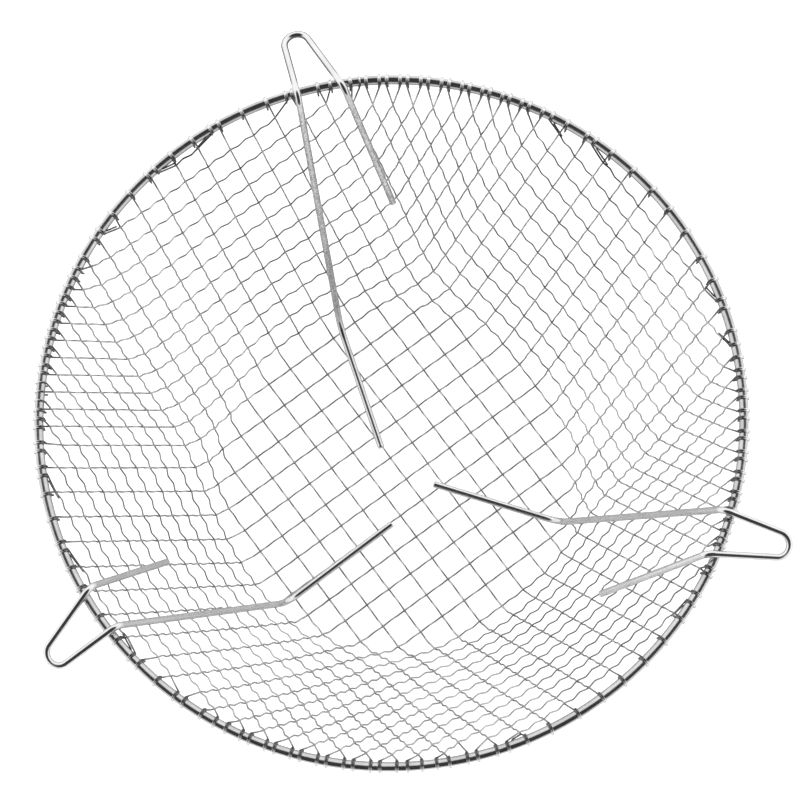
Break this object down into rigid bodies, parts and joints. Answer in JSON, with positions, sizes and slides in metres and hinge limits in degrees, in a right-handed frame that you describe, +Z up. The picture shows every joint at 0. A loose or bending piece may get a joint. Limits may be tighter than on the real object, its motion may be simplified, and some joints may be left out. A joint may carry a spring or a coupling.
{
  "type": "wire mesh basket",
  "caption": "Round woven wire-mesh basket with a flat floor, a sloping wall, a rim hoop and hairpin wire hooks over the rim.",
  "frame": {"origin": "on the basket's axis, in the plane that it stands on", "axes": "+Z up along the basket's axis; +X and +Y along the two families of floor wires"},
  "size_m": [0.331, 0.3181, 0.1296],
  "materials": {
    "mesh_wire": "galvanised crimped wire, satin",
    "hoop_wire": "bright drawn steel wire, satin",
    "hook_wire": "bright zinc-plated steel wire"
  },
  "bodies": {
    "root": {"rim_hoop": "hoop_wire", "hook_1": "hook_wire", "hook_2": "hook_wire", "hook_3": "hook_wire", "weft_wires_00": "mesh_wire", "weft_wires_01": "mesh_wire", "weft_wires_02": "mesh_wire", "weft_wires_03": "mesh_wire", "weft_wires_04": "mesh_wire", "weft_wires_05": "mesh_wire", "weft_wires_06": "mesh_wire", "weft_wires_07": "mesh_wire", "weft_wires_08": "mesh_wire", "weft_wires_09": "mesh_wire", "weft_wires_10": "mesh_wire", "weft_wires_11": "mesh_wire", "weft_wires_12": "mesh_wire", "weft_wires_13": "mesh_wire", "weft_wires_14": "mesh_wire", "weft_wires_15": "mesh_wire", "weft_wires_16": "mesh_wire", "weft_wires_17": "mesh_wire", "weft_wires_18": "mesh_wire", "warp_wires_00": "mesh_wire", "warp_wires_01": "mesh_wire", "warp_wires_02": "mesh_wire", "warp_wires_03": "mesh_wire", "warp_wires_04": "mesh_wire", "warp_wires_05": "mesh_wire", "warp_wires_06": "mesh_wire", "warp_wires_07": "mesh_wire", "warp_wires_08": "mesh_wire", "warp_wires_09": "mesh_wire", "warp_wires_10": "mesh_wire", "warp_wires_11": "mesh_wire", "warp_wires_12": "mesh_wire", "warp_wires_13": "mesh_wire", "warp_wires_14": "mesh_wire", "warp_wires_15": "mesh_wire", "warp_wires_16": "mesh_wire", "warp_wires_17": "mesh_wire", "warp_wires_18": "mesh_wire"}
  },
  "joints": []
}
